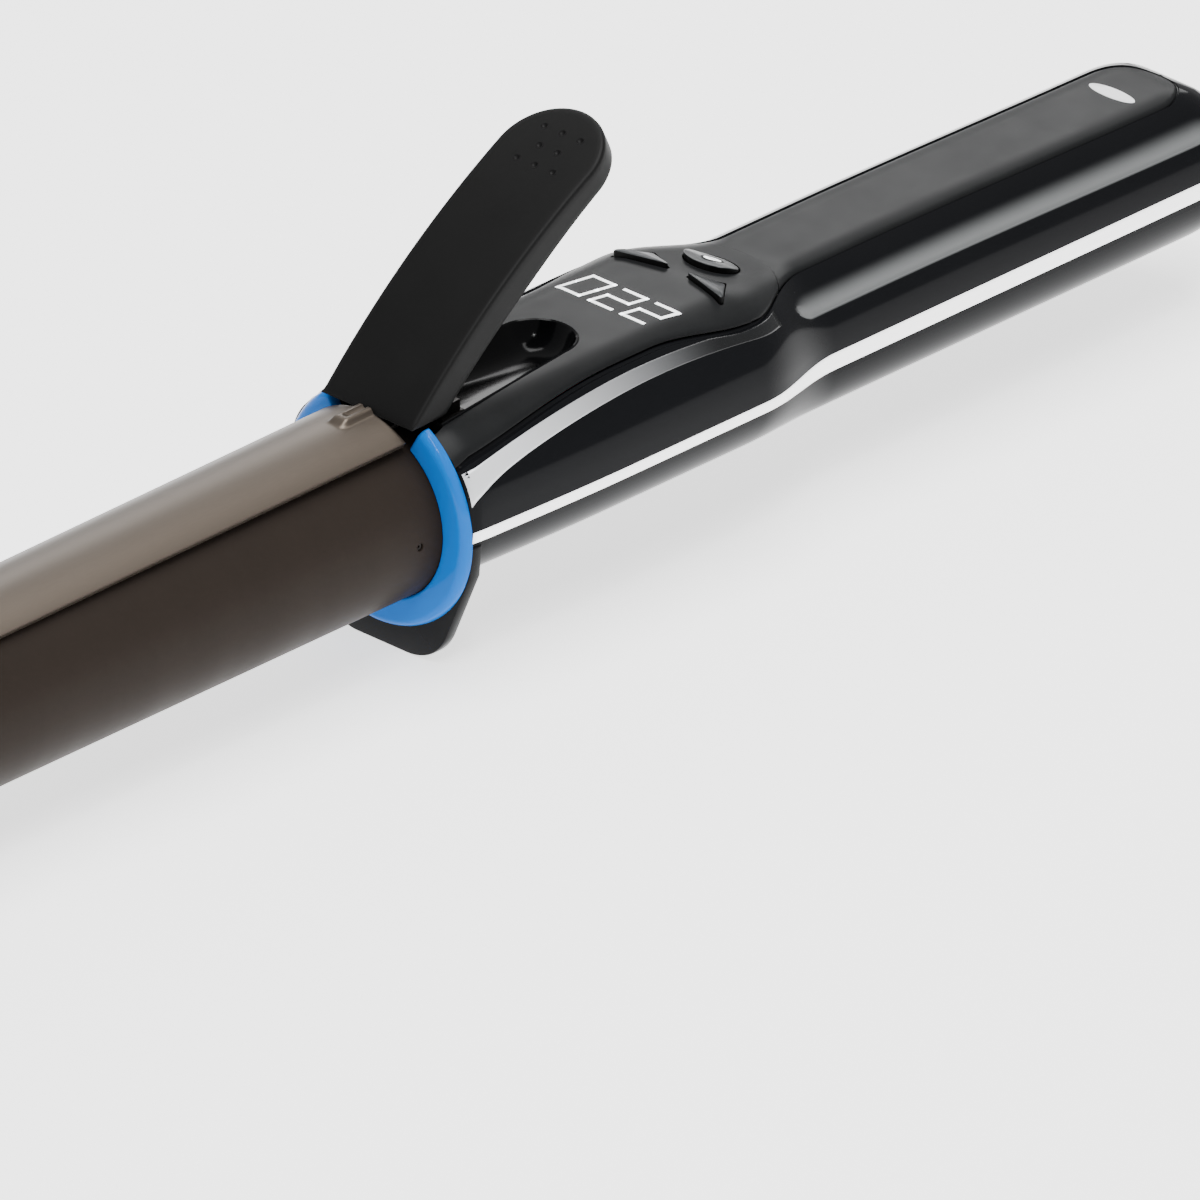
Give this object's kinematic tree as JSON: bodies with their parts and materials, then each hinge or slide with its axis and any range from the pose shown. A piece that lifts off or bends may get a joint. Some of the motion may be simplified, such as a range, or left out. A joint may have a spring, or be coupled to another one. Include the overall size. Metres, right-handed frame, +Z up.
{
  "type": "curling iron",
  "caption": "Hand-held hair curling iron: a heated round barrel with a sprung clamp and thumb lever, a coloured collar with a rest foot, and a handle with a display and keys.",
  "frame": {"origin": "under the middle of the whole length, on the plane that the rest foot stands on", "axes": "+X along the barrel axis from cool tip to handle, +Z up through the display side, +Y across"},
  "size_m": [0.363, 0.0454, 0.0824],
  "materials": {
    "barrel_coat": "satin ceramic coating",
    "tip_black": "fine matte",
    "steel": "plated",
    "heat_plastic": "natural heat-resistant plastic",
    "aluminium": "pressed",
    "ceramic": "fired ceramic",
    "insulation": "amber film",
    "glass_bead": "glazed bead",
    "ring_blue": "gloss",
    "foot_black": "gloss",
    "gloss_black": "high gloss",
    "stripe_white": "gloss",
    "accent_silver": "satin silver fading to black",
    "satin_grey": "satin",
    "well_black": "gloss",
    "inlay_white": "satin",
    "clamp_metal": "satin bronze",
    "lever_black": "fine matte",
    "spring_steel": "oiled",
    "key_grey": "satin",
    "board_green": "solder mask",
    "display_black": "smooth",
    "chip_black": "moulded",
    "capacitor_blue": "sleeved",
    "mat_rubber": "soft",
    "brass": "polished",
    "lead_red": "silicone sleeve",
    "lead_grey": "sleeve"
  },
  "bodies": {
    "handle": {"barrel_tube": "barrel_coat", "barrel_tip": "tip_black", "barrel_screw": "steel", "barrel_holder": "heat_plastic", "heater_clamp_upper": "aluminium", "heater_clamp_lower": "aluminium", "ceramic_heaters": "ceramic", "heater_insulation": "insulation", "temperature_sensor": "glass_bead", "thermal_fuse": "steel", "collar_ring": "ring_blue", "collar_foot": "foot_black", "lower_housing": "gloss_black", "side_stripes": "stripe_white", "side_accents": "accent_silver", "control_panel": "satin_grey", "grip_cover": "satin_grey", "lever_well": "well_black", "end_inlay": "inlay_white", "hinge_bracket": "steel", "hinge_pin": "steel", "clamp_spring": "spring_steel", "circuit_board": "board_green", "board_screws": "steel", "display_module": "display_black", "microcontroller": "chip_black", "triac": "chip_black", "triac_heat_sink": "aluminium", "mains_capacitor": "capacitor_blue", "tact_switches": "chip_black", "key_mat": "mat_rubber", "swivel_plate": "heat_plastic", "brush_contacts": "brass", "brush_holder": "heat_plastic", "heater_leads": "lead_red", "supply_leads": "lead_grey", "housing_screws": "steel"},
    "clamp": {"clamp_plate": "clamp_metal", "clamp_arm": "steel", "clamp_rivets": "steel", "clamp_lever": "lever_black", "lever_screws": "steel"},
    "swivel": {"cord_gland": "foot_black", "slip_rings": "brass"},
    "power_button": {"power_key": "key_grey"},
    "plus_button": {"plus_key": "key_grey"},
    "minus_button": {"minus_key": "key_grey"}
  },
  "joints": [
    {"name": "clamp_hinge", "type": "hinge", "parent": "handle", "child": "clamp", "pos_m": [-0.0215, 0, 0.0443], "axis": [0, 1, 0], "range_deg": [0, 25], "stiffness_Nm_per_rad": 0.3, "springref_deg": -20.05},
    {"name": "cord_swivel", "type": "hinge", "parent": "handle", "child": "swivel", "pos_m": [0.1635, 0, 0.0261], "axis": [1, 0, 0], "continuous": true},
    {"name": "power_button_press", "type": "slide", "parent": "handle", "child": "power_button", "axis": [0, 0, -1], "range_m": [0, 0.0005], "stiffness_N_per_m": 300, "springref_m": -0.001},
    {"name": "plus_button_press", "type": "slide", "parent": "handle", "child": "plus_button", "axis": [0, 0, -1], "range_m": [0, 0.0005], "stiffness_N_per_m": 300, "springref_m": -0.001},
    {"name": "minus_button_press", "type": "slide", "parent": "handle", "child": "minus_button", "axis": [0, 0, -1], "range_m": [0, 0.0005], "stiffness_N_per_m": 300, "springref_m": -0.001}
  ]
}
